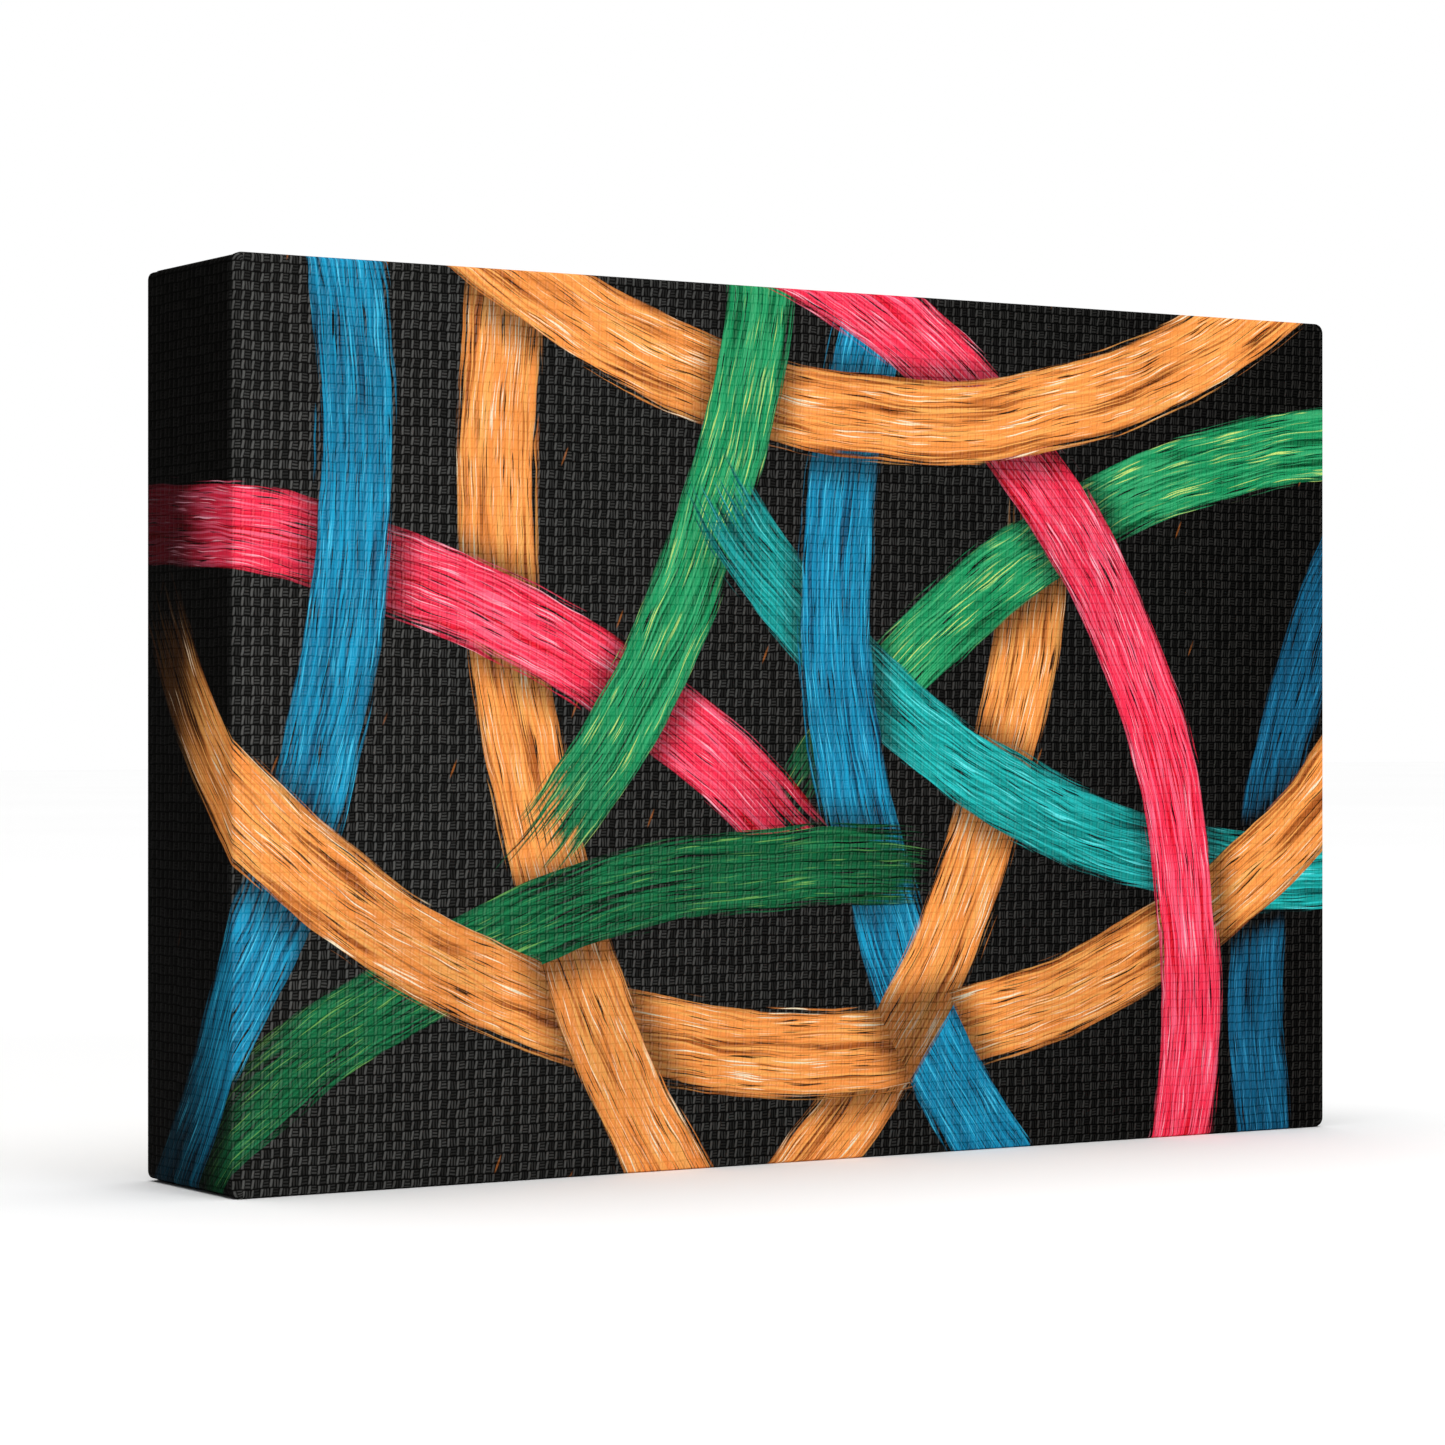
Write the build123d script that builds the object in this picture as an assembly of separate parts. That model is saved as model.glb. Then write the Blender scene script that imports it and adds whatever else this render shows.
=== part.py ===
from build123d import *
import math
import os

# A small gallery-wrapped stretched canvas: four interlocking pine stretcher bars, eight
# tensioning keys, one sheet of canvas folded round them and stapled at the back, a sawtooth
# hanger held by two nails, and two rubber wall bumpers.
#
# Frame: the canvas stands on its lower edge. X runs along its width, Y through its depth with
# the printed face towards -Y, and Z up. The origin is at the middle of the footprint.

# ---- driving dimensions, in millimetres ----
FRAME_W = 228.6  # outer width of the assembled bars: 9 in
FRAME_H = 152.4  # outer height of the assembled bars: 6 in
BAR_DEPTH = 33.0  # front to back
BAR_WIDTH = 22.0  # outer edge to inner edge
CLOTH = 0.5  # thickness of the primed canvas
CLOTH_GAP = 0.05  # slack between canvas and wood
FLAP = 18.0  # how far the canvas is folded over the back of the bars
FOLD_INSET = 0.4  # doubled corner fold to the canvas's outer face
BUMPER_HEIGHT = 2.5

# Bar section
BEAD_WIDTH = 4.5  # flat outer lip, the only part of the front that touches the canvas
BEAD_DROP = 1.8  # step down behind the lip
BEVEL_DROP = 3.4  # drop of the front face at the inner edge
BEAD_RAMP = 1.6
INNER_CHAMFER = 0.8
FRONT_ROUND = 0.6  # outer front edge
CORNER_ROUND = 1.0  # the frame's four corners, seen from the front

# Corner joint: layers counted from the front face of the bars
LAYER_1 = (15.0, 20.0)
LAYER_2 = (20.0, 25.0)
TONGUE_GAP = 0.05  # each side of a tongue
TONGUE_SHORT = 0.3  # a tongue stops this far inside the outer face
MITRE_GAP = 0.05  # each side of the mitre

# Key slot and key: the slot narrows from the frame's inner edge to its outer edge
SLOT_INNER = 9.2
SLOT_OUTER = 1.2
KEY_THICK = 4.4
KEY_SIDE_GAP = 0.15  # between the key's straight edge and the neighbouring bar
KEY_TAPER_GAP = 0.55  # between the key's slanted edge and the slot's shoulder
KEY_TIP_SETBACK = 3.0  # tip to the bar's outer edge
KEY_HEAD = 11.0  # head stands this far inside the frame opening
KEY_CHAMFER = 0.35

# Staples
STAPLE_CROWN = 10.0
STAPLE_WIRE = 0.9  # along the bar's face
STAPLE_THICK = 0.6
STAPLE_LEG = 6.5
STAPLE_BEND = 0.8
STAPLE_INSET = 10.0  # crown to the frame's outer edge
TOP_STAPLES = (32.0, 60.0, 88.0)  # each side of the middle
BOTTOM_STAPLES = (17.0, 51.0)
SIDE_STAPLES = (0.0, 38.0)
CORNER_STAPLE = 9.5  # in from both outer edges, across the fold

# Sawtooth hanger and its nails
HANGER_W = 45.0
HANGER_H = 9.5
HANGER_SHEET = 0.8
HANGER_RISE = 1.1
HANGER_LUG = 7.5
HANGER_RAMP = 1.6
HANGER_END_ROUND = 2.4
TOOTH_PITCH = 3.0
TOOTH_DEPTH = 1.5
TEETH = 9
HANGER_INSET = 11.5  # hanger's middle to the frame's top edge
NAIL_REACH = 18.9  # nails each side of the middle
NAIL_RADIUS = 0.75
NAIL_HOLE_RADIUS = 0.95
NAIL_HEAD_RADIUS = 1.95
NAIL_HEAD = 0.6
NAIL_LENGTH = 12.0

# Bumpers
BUMPER_RADIUS = 5.0
BUMPER_TOP_RADIUS = 4.2
BUMPER_ROUND = 0.9
BUMPER_REACH = 82.0  # each side of the middle
BUMPER_INSET = 11.0  # above the frame's lower edge

# ---- worked out ----
SKIN = CLOTH + CLOTH_GAP
TOTAL_DEPTH = BAR_DEPTH + 2 * SKIN + BUMPER_HEIGHT
CANVAS_FRONT = -TOTAL_DEPTH / 2
BAR_FRONT = CANVAS_FRONT + SKIN
BAR_BACK = BAR_FRONT + BAR_DEPTH
CANVAS_BACK = BAR_BACK + SKIN
CENTRE_Z = SKIN + FRAME_H / 2
FRAME_TOP = SKIN + FRAME_H
TAPER = (SLOT_INNER - SLOT_OUTER) / BAR_WIDTH
PAST = 3.0  # cutters reach this far past what they cut
CLOSE = 0.01  # tolerance for picking edges

# Bar name: (length, outer edge to frame centre, turn about Y in degrees)
BARS = {
    "top": (FRAME_W, FRAME_H / 2, 0),
    "right": (FRAME_H, FRAME_W / 2, 90),
    "bottom": (FRAME_W, FRAME_H / 2, 180),
    "left": (FRAME_H, FRAME_W / 2, 270),
}
# For each bar, the corner at its first end (slot in layer 1) and at its second (slot in layer 2)
BAR_ENDS = {
    "top": ("left", "right"),
    "right": ("top", "bottom"),
    "bottom": ("right", "left"),
    "left": ("bottom", "top"),
}


def prism(points, y_low, y_high):
    """A solid with an outline in X and Z, between two depths."""
    outline = Plane.XZ * make_face(Polyline(*points, close=True))
    return Pos(0, y_high, 0) * extrude(outline, amount=y_high - y_low)


def block(x, y, z):
    """A box between (low, high) pairs."""
    size = [high - low for low, high in (x, y, z)]
    middle = [(high + low) / 2 for low, high in (x, y, z)]
    return Pos(*middle) * Box(*size)


def rounded_case(grow, front_grow, back_grow):
    """The frame's outer envelope, grown all round, with its corners and front edge rounded."""
    low, high = BAR_FRONT - front_grow, BAR_BACK + back_grow
    case = Pos(0, (low + high) / 2, CENTRE_Z) * Box(
        FRAME_W + 2 * grow, high - low, FRAME_H + 2 * grow
    )
    case = fillet(case.edges().filter_by(Axis.Y), CORNER_ROUND + grow)
    front = case.faces().sort_by(Axis.Y)[0]
    return fillet(front.edges(), FRONT_ROUND + grow)


def place(shape, bar):
    """Moves a shape from bar coordinates, with Z 0 at the outer edge, to its side of the frame."""
    _, reach, turn = BARS[bar]
    return Pos(0, 0, CENTRE_Z) * Rot(0, turn, 0) * Pos(0, 0, reach) * shape


def slot_width(z):
    """The key slot's width at a height in bar coordinates."""
    return SLOT_OUTER - TAPER * z


def mirrored(points, side):
    return [(side * x, z) for x, z in points]


def mitre_cutter(length, side, y_low, y_high):
    """Cuts one end of a bar back to its mitre. Side -1 is the bar's first end, 1 its second."""
    top, bottom, out = PAST, -BAR_WIDTH - PAST, length / 2 + 2 * PAST
    start = length / 2 - MITRE_GAP * math.sqrt(2)
    points = [(start + top, top), (out, top), (out, bottom), (start + bottom, bottom)]
    return prism(mirrored(points, side), y_low, y_high)


def slot_cutter(length, side, y_low, y_high):
    """Cuts one end of a bar back to the tapered shoulder that leaves room for a key."""
    top, bottom, out = PAST, -BAR_WIDTH - PAST, length / 2 + PAST
    face = length / 2 - BAR_WIDTH
    points = [
        (face - slot_width(top), top),
        (out, top),
        (out, bottom),
        (face - slot_width(bottom), bottom),
    ]
    return prism(mirrored(points, side), y_low, y_high)


def bar_blank(length):
    """The plain moulding: a lip at the outer front edge, and a front face that falls away from it."""
    front, back = BAR_FRONT, BAR_BACK
    section = [
        (front, 0),
        (front, -BEAD_WIDTH),
        (front + BEAD_DROP, -BEAD_WIDTH - BEAD_RAMP),
        (front + BEVEL_DROP, -BAR_WIDTH),
        (back - INNER_CHAMFER, -BAR_WIDTH),
        (back, -BAR_WIDTH + INNER_CHAMFER),
        (back, 0),
    ]
    face = Plane.YZ * make_face(Polyline(*section, close=True))
    return extrude(face, amount=length / 2, both=True)


def stretcher_bar(bar, envelope):
    """One bar, whose ends interlock with its neighbours' ends.

    At its first end the slot is in layer 1 and the tongue in layer 2, and at its second end the
    other way round.
    """
    length = BARS[bar][0]
    shallow, deep = BAR_FRONT - PAST, BAR_BACK + PAST
    near_1, far_1 = [BAR_FRONT + y for y in LAYER_1]
    near_2, far_2 = [BAR_FRONT + y for y in LAYER_2]
    cutters = [
        mitre_cutter(length, -1, shallow, near_1),
        slot_cutter(length, -1, near_1, near_2 + TONGUE_GAP),
        mitre_cutter(length, -1, far_2 - TONGUE_GAP, deep),
        mitre_cutter(length, 1, shallow, near_1 + TONGUE_GAP),
        slot_cutter(length, 1, far_1 - TONGUE_GAP, far_2),
        mitre_cutter(length, 1, far_2, deep),
    ]
    for side in (-1, 1):
        tip = sorted((side * (length / 2 - TONGUE_SHORT), side * (length / 2 + PAST)))
        cutters.append(block(tip, (near_1, far_2), (-BAR_WIDTH - PAST, PAST)))
    solid = bar_blank(length)
    for cutter in cutters:
        solid -= cutter
    return place(solid, bar) & envelope


def key(bar, side):
    """A wedge in the slot at one end of a bar, with its head in the frame opening."""
    length = BARS[bar][0]
    layer = LAYER_1 if side < 0 else LAYER_2
    middle = BAR_FRONT + (layer[0] + layer[1]) / 2
    face = length / 2 - BAR_WIDTH
    tip, head = -KEY_TIP_SETBACK, -BAR_WIDTH - KEY_HEAD
    points = [
        (face - KEY_SIDE_GAP, tip),
        (face - KEY_SIDE_GAP, head),
        (face - slot_width(head) + KEY_TAPER_GAP, head),
        (face - slot_width(tip) + KEY_TAPER_GAP, tip),
    ]
    solid = prism(mirrored(points, side), middle - KEY_THICK / 2, middle + KEY_THICK / 2)
    return place(chamfer(solid.edges(), KEY_CHAMFER), bar)


def canvas():
    """One sheet folded round the frame: face, four sides and a flap over each bar's back."""
    sheet = rounded_case(SKIN, SKIN, SKIN) - rounded_case(CLOTH_GAP, CLOTH_GAP, CLOTH_GAP)
    half_w, half_h = FRAME_W / 2 + SKIN, FRAME_H / 2 + SKIN
    hole_w, hole_h = half_w - FLAP, half_h - FLAP
    heights = (CENTRE_Z - hole_h, CENTRE_Z + hole_h)
    sheet -= block((-hole_w, hole_w), (BAR_BACK - PAST, CANVAS_BACK + PAST), heights)
    # The upper and lower flaps end in a fold of doubled cloth at each corner.
    corner_w, edge_h = half_w - CORNER_ROUND - SKIN, half_h - FOLD_INSET
    for x in (-1, 1):
        for z in (-1, 1):
            fold = [
                (x * corner_w, CENTRE_Z + z * edge_h),
                (x * hole_w, CENTRE_Z + z * edge_h),
                (x * hole_w, CENTRE_Z + z * hole_h),
            ]
            sheet += prism(fold, CANVAS_BACK - CLOTH / 2, CANVAS_BACK + CLOTH)
    return sheet


def staple(x, z, turn=0.0, lift=0.0):
    """A wire staple seen from the back, with its crown on the cloth and its legs in the wood."""
    half, bottom, top = STAPLE_CROWN / 2, -STAPLE_LEG, STAPLE_THICK
    points = [
        (-half, bottom),
        (-half, top),
        (half, top),
        (half, bottom),
        (half - STAPLE_THICK, bottom - STAPLE_THICK / 2),
        (half - STAPLE_THICK, 0),
        (-half + STAPLE_THICK, 0),
        (-half + STAPLE_THICK, bottom - STAPLE_THICK / 2),
    ]
    wire = extrude(make_face(Polyline(*points, close=True)), amount=STAPLE_WIRE / 2, both=True)
    shoulders = [e for e in wire.edges().filter_by(Axis.Z) if e.center().Y > top - CLOSE]
    wire = fillet(shoulders, STAPLE_BEND)
    return Pos(x, CANVAS_BACK + lift, z) * Rot(0, turn, 0) * wire


def staple_rows():
    """Every staple, by node: one node for each bar and one for the corner folds."""
    top, bottom = FRAME_TOP - STAPLE_INSET, SKIN + STAPLE_INSET
    side = FRAME_W / 2 - STAPLE_INSET
    rows = {
        "staples_top": [staple(s * x, top) for x in TOP_STAPLES for s in (-1, 1)],
        "staples_bottom": [staple(s * x, bottom) for x in BOTTOM_STAPLES for s in (-1, 1)],
    }
    heights = sorted({s * z for z in SIDE_STAPLES for s in (-1, 1)})
    for name, sign in (("staples_left", -1), ("staples_right", 1)):
        rows[name] = [staple(sign * side, CENTRE_Z + z, 90) for z in heights]
    x, z = FRAME_W / 2 - CORNER_STAPLE, FRAME_H / 2 - CORNER_STAPLE
    rows["staples_corners"] = [
        staple(i * x, CENTRE_Z + j * z, 45 * i * j, CLOTH) for i in (-1, 1) for j in (-1, 1)
    ]
    return rows


def sawtooth_hanger():
    """A stamped strip: two flat lugs, and a raised middle with teeth along its lower edge."""
    half, lug = HANGER_W / 2, HANGER_W / 2 - HANGER_LUG
    rise, sheet = HANGER_RISE, HANGER_SHEET
    under = [(-half, 0), (-lug, 0), (-lug + HANGER_RAMP, rise)]
    under += [(-x, y) for x, y in reversed(under)]
    over = [(x, y + sheet) for x, y in reversed(under)]
    strip = extrude(make_face(Polyline(*under, *over, close=True)), amount=HANGER_H / 2, both=True)
    ends = [e for e in strip.edges().filter_by(Axis.Y) if abs(e.center().X) > half - CLOSE]
    strip = fillet(ends, HANGER_END_ROUND)
    low = -HANGER_H / 2
    for i in range(TEETH):
        x = (i - (TEETH - 1) / 2) * TOOTH_PITCH
        left, right = x - TOOTH_PITCH / 2, x + TOOTH_PITCH / 2
        notch = [(left, low - CLOSE), (x, low + TOOTH_DEPTH), (right, low - CLOSE)]
        strip -= prism(notch, -PAST, PAST)
    hole = Rot(90, 0, 0) * Cylinder(NAIL_HOLE_RADIUS, 2 * PAST)
    for side in (-1, 1):
        strip -= Pos(side * NAIL_REACH, 0, 0) * hole
    return Pos(0, CANVAS_BACK, FRAME_TOP - HANGER_INSET) * strip


def hanger_nail(side):
    """A round-headed nail driven forward through the lug, the cloth and into the top bar."""
    outline = [
        (0, -NAIL_LENGTH),
        (NAIL_RADIUS, -NAIL_LENGTH + 2 * NAIL_RADIUS),
        (NAIL_RADIUS, 0),
        (NAIL_HEAD_RADIUS, 0),
        (NAIL_HEAD_RADIUS, NAIL_HEAD / 2),
        (NAIL_HEAD_RADIUS / 2, NAIL_HEAD),
        (0, NAIL_HEAD),
    ]
    nail = revolve(make_face(Polyline(*outline, close=True)), Axis.Y)
    return Pos(side * NAIL_REACH, CANVAS_BACK + HANGER_SHEET, FRAME_TOP - HANGER_INSET) * nail


def bumper(side):
    """A stick-on rubber foot that keeps the lower edge off the wall."""
    dome = Cone(BUMPER_RADIUS, BUMPER_TOP_RADIUS, BUMPER_HEIGHT)
    rim = dome.edges().sort_by(Axis.Z)[-1]
    dome = Rot(-90, 0, 0) * fillet(rim, BUMPER_ROUND)
    return Pos(side * BUMPER_REACH, CANVAS_BACK + BUMPER_HEIGHT / 2, SKIN + BUMPER_INSET) * dome


def main():
    os.makedirs("parts", exist_ok=True)
    envelope = rounded_case(0, 0, 0)
    nodes = {"canvas": canvas(), "sawtooth_hanger": sawtooth_hanger()}
    for bar, ends in BAR_ENDS.items():
        nodes[f"stretcher_bar_{bar}"] = stretcher_bar(bar, envelope)
        for side, corner in zip((-1, 1), ends):
            nodes[f"key_{bar}_bar_{corner}"] = key(bar, side)
    for name, staples in staple_rows().items():
        nodes[name] = Compound(children=staples)
    for name, side in (("left", -1), ("right", 1)):
        nodes[f"hanger_nail_{name}"] = hanger_nail(side)
        nodes[f"wall_bumper_{name}"] = bumper(side)
    for name, shape in nodes.items():
        export_step(shape, f"parts/{name}.step")


main()
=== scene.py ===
import bpy
import bmesh
import math
import random
from mathutils import Euler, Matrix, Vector


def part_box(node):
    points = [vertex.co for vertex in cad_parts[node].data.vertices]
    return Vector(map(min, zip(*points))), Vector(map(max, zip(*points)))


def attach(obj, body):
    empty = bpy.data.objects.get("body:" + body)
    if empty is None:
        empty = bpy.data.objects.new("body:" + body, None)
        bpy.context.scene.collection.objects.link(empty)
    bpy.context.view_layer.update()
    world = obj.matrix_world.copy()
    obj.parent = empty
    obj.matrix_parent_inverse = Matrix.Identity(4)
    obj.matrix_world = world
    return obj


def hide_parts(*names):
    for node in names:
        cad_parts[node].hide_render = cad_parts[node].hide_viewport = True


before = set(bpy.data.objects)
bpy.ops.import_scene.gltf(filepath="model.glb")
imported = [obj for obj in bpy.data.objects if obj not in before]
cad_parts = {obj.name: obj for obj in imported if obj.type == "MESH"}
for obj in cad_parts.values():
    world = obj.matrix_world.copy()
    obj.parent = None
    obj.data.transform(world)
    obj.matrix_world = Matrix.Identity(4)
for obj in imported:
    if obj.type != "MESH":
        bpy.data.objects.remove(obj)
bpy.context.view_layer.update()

# The stretched canvas in its finished looks. One cloth sheet with its printed front, folded
# corners and frayed back edge replaces the plain CAD tray. The CAD bars, keys, staples, hanger
# and bumpers stay, with procedural wood, metal and rubber. Lengths are metres unless a name
# ends in _mm.

MM = 0.001

# ---- the sheet, from the frame ----
LOW, HIGH = [Vector(corner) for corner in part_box("canvas")]
BARS_LOW, BARS_HIGH = [Vector(corner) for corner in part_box("stretcher_bar_top")]
HALF_W = (HIGH.x - LOW.x) / 2
HALF_H = (HIGH.z - LOW.z) / 2
MIDDLE_Z = (HIGH.z + LOW.z) / 2
FRONT_Y = LOW.y
SKIN = BARS_LOW.y - FRONT_Y  # from the bars to the cloth's outer surface
BACK_Y = BARS_HIGH.y + SKIN  # outer surface of the flaps
THICK = 0.46 * MM
FRONT_RADIUS = 0.75 * MM
BACK_RADIUS = 1.3 * MM
CORNER_RADIUS = 1.8 * MM
FLAP = 18.0 * MM
GRID = 1.6 * MM  # usual mesh spacing
ARC_STEPS = 5  # mesh rows over each rounded edge
CORNER_TURNS = 7  # mesh columns round each corner
STEP = 0.45 * MM  # thickness of a corner fold, where one layer lies on another
PRINT_BLEED = 13.6 * MM  # the print runs this far on to the flaps

# Where the flaps are held down, each side of the middle: staples, hanger nails and bumpers
HELD_TOP = (18.9 * MM, 32 * MM, 60 * MM, 88 * MM, 105 * MM)
HELD_BOTTOM = (17 * MM, 51 * MM, 82 * MM, 105 * MM)
HELD_SIDE = (0, 38 * MM, 67 * MM)


def srgb(red, green, blue):
    """A colour given as 0 to 255 on screen, as the linear numbers that shaders take."""
    parts = [c / 255 for c in (red, green, blue)]
    linear = [c / 12.92 if c <= 0.04045 else ((c + 0.055) / 1.055) ** 2.4 for c in parts]
    return (*linear, 1.0)


def smooth(x, low, high):
    """0 below low, 1 above high, with an even curve between them."""
    t = min(max((x - low) / (high - low), 0.0), 1.0)
    return t * t * (3 - 2 * t)


def add_object(name, data):
    """A new object in the scene."""
    made = bpy.data.objects.new(name, data)
    bpy.context.scene.collection.objects.link(made)
    return made


# ---- node trees ----
class Nodes:
    """Short calls that add nodes to a tree and return their output sockets."""

    def __init__(self, tree):
        self.tree = tree

    def feed(self, socket, value):
        if isinstance(value, bpy.types.NodeSocket):
            self.tree.links.new(value, socket)
        elif value is not None:
            socket.default_value = value

    def add(self, kind, *values, out=0, named=(), **settings):
        node = self.tree.nodes.new("ShaderNode" + kind)
        for name, value in settings.items():
            setattr(node, name, value)
        for socket, value in zip(node.inputs, values):
            self.feed(socket, value)
        for name, value in dict(named).items():
            self.feed(node.inputs[name], value)
        return node.outputs[out]

    def math(self, operation, *values):
        return self.add("Math", *values, operation=operation)

    def plus(self, a, b):
        return self.math("ADD", a, b)

    def minus(self, a, b):
        return self.math("SUBTRACT", a, b)

    def times(self, a, b):
        return self.math("MULTIPLY", a, b)

    def times_plus(self, a, b, c):
        return self.math("MULTIPLY_ADD", a, b, c)

    def vector(self, operation, *values):
        out = "Value" if operation in ("DOT_PRODUCT", "LENGTH") else "Vector"
        node = self.add("VectorMath", *values, operation=operation).node
        return node.outputs[out]

    def scaled(self, vector, factor):
        node = self.add("VectorMath", vector, operation="SCALE").node
        self.feed(node.inputs["Scale"], factor)
        return node.outputs["Vector"]

    def step(self, value, low, high, to_low=0.0, to_high=1.0):
        # The curve stops at both ends by itself. Clamping it again would only add more nodes.
        values = (value, low, high, to_low, to_high)
        return self.add("MapRange", *values, interpolation_type="SMOOTHSTEP", clamp=False)

    def mix(self, factor, a, b, blend="MIX"):
        node = self.add("Mix", data_type="RGBA", blend_type=blend).node
        self.feed(node.inputs[0], factor)
        self.feed(node.inputs[6], a)
        self.feed(node.inputs[7], b)
        return node.outputs[2]

    def blend(self, factor, a, b):
        """A number between a and b."""
        return self.add("Mix", factor, None, a, b, data_type="FLOAT")

    def noise(self, place, scale=1.0, detail=2.0, roughness=0.5, flat=True, out=0):
        named = {"Vector": place, "Scale": scale, "Detail": detail, "Roughness": roughness}
        dimensions = "2D" if flat else "3D"
        return self.add("TexNoise", out=out, named=named, noise_dimensions=dimensions)

    def split(self, vector):
        return self.add("SeparateXYZ", vector).node.outputs

    def join(self, x=0.0, y=0.0, z=0.0):
        return self.add("CombineXYZ", x, y, z)

    def grey(self, value):
        return self.add("CombineColor", value, value, value)


def new_material(name):
    """A new material, the helper for its nodes, and its Principled shader's inputs."""
    material = bpy.data.materials.new(name)
    material.use_nodes = True
    tree = material.node_tree
    return material, Nodes(tree), tree.nodes["Principled BSDF"].inputs


def new_group(name, inputs, outputs):
    """A node group with its helper, its inputs by name, and its output node."""
    tree = bpy.data.node_groups.new(name, "ShaderNodeTree")
    for side, sockets in (("INPUT", inputs), ("OUTPUT", outputs)):
        for label, kind in sockets:
            tree.interface.new_socket(label, in_out=side, socket_type="NodeSocket" + kind)
    start = tree.nodes.new("NodeGroupInput")
    end = tree.nodes.new("NodeGroupOutput")
    return tree, Nodes(tree), start.outputs, end.inputs


def use_group(n, group, **values):
    """The outputs of one use of a group. An underscore in a name stands for a space."""
    node = n.tree.nodes.new("ShaderNodeGroup")
    node.node_tree = group
    for name, value in values.items():
        n.feed(node.inputs[name.replace("_", " ")], value)
    return node.outputs


# ---- weave: a coarse canvas, with raised warp threads between blocks of weft ----
WARP_MM, WEFT_MM = 1.72, 1.6  # centre to centre
STRANDS = 3.1  # strands in a block, per thread spacing


def weave_group():
    """One thread crossing per cell: an upright warp bar, and a block with fine strands beside it.

    Top is 1 on a bar's crown, lower on the strands and 0 in the gaps. Height is for bump.
    """
    outputs = [("Top", "Float"), ("Height", "Float")]
    tree, n, start, end = new_group("weave", [("Place", "Vector")], outputs)
    drift = n.noise(start["Place"], 0.22, 2.0, out=1)
    drift = n.scaled(n.vector("SUBTRACT", drift, (0.5, 0.5, 0.5)), 0.6)
    place = n.vector("ADD", start["Place"], drift)
    place = n.vector("DIVIDE", place, (WARP_MM, WEFT_MM, 1.0))
    x, y, _ = n.split(place)
    column, row = n.math("FLOOR", x), n.math("FLOOR", y)
    u, v = n.minus(x, column), n.minus(y, row)
    lean = n.times_plus(v, -0.16, u)
    uneven = n.noise(n.join(column, row), 0.83, 0.0)
    rows = n.times(n.step(v, 0.0, 0.2), n.step(v, 1.0, 0.86))
    # The bar stands at the cell's left, and leans to the right as it rises.
    from_bar = n.math("ABSOLUTE", n.minus(lean, 0.14))
    bar = n.times(n.step(from_bar, 0.2, 0.04), rows)
    beside = n.times(n.step(lean, 0.28, 0.4), n.step(u, 1.0, 0.92))
    block = n.times(beside, rows)
    crossing = n.math("FLOORED_MODULO", n.plus(column, row), 2.0)
    across = n.blend(crossing, u, v)
    wave = n.math("COSINE", n.times_plus(across, 2 * math.pi * STRANDS, 1.2))
    strands = n.times(n.times_plus(wave, 0.5, 0.5), block)
    bar_level = n.times(bar, n.step(uneven, 0.2, 0.6, 0.7, 1.0))
    strand_level = n.times(strands, n.step(uneven, 0.35, 0.75, 0.2, 0.6))
    n.feed(end["Top"], n.math("MAXIMUM", bar_level, strand_level))
    pile = n.times_plus(strands, 0.2, n.times(block, 0.5))
    n.feed(end["Height"], n.math("MAXIMUM", bar, pile))
    return tree


WEAVE = weave_group()


# ---- print: interlaced brush strokes ----
SHADE_DEPTH = 0.7  # the share of black in the deepest shade
PLACE_INPUTS = [(name, "Vector") for name in ("Place", "Centre", "Out", "Ahead")]
REACH_INPUTS = [(name, "Float") for name in ("Radius", "Half width", "Back end", "Front end", "Fade")]


def arc_frame(n, start):
    """Distances off a stroke's centre line and along it, in millimetres.

    Out points from the circle's centre to the stroke's own point, and Ahead along the stroke there.
    """
    from_centre = n.vector("SUBTRACT", start["Place"], start["Centre"])
    out = n.vector("DOT_PRODUCT", from_centre, start["Out"])
    ahead = n.vector("DOT_PRODUCT", from_centre, start["Ahead"])
    off = n.minus(n.vector("LENGTH", from_centre), start["Radius"])
    return off, n.times(n.math("ARCTAN2", ahead, out), start["Radius"])


def nearest_end(n, start, along):
    """How far a place is from the stroke's nearer end, where 1 is the length that it fades over."""
    to_back = n.plus(along, start["Back end"])
    to_front = n.minus(start["Front end"], along)
    return n.math("DIVIDE", n.math("MINIMUM", to_back, to_front), start["Fade"])


def shade_group():
    """How much a stroke darkens the ones that it lies over, beneath it and a little beside it."""
    inputs = PLACE_INPUTS + REACH_INPUTS
    tree, n, start, end = new_group("stroke shade", inputs, [("Shade", "Float")])
    off, along = arc_frame(n, start)
    edge = n.math("DIVIDE", n.math("ABSOLUTE", off), start["Half width"])
    present = n.step(nearest_end(n, start, along), 0.3, 1.2, 0.0, SHADE_DEPTH)
    n.feed(end["Shade"], n.times(n.step(edge, 1.9, 0.95), present))
    return tree


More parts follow.
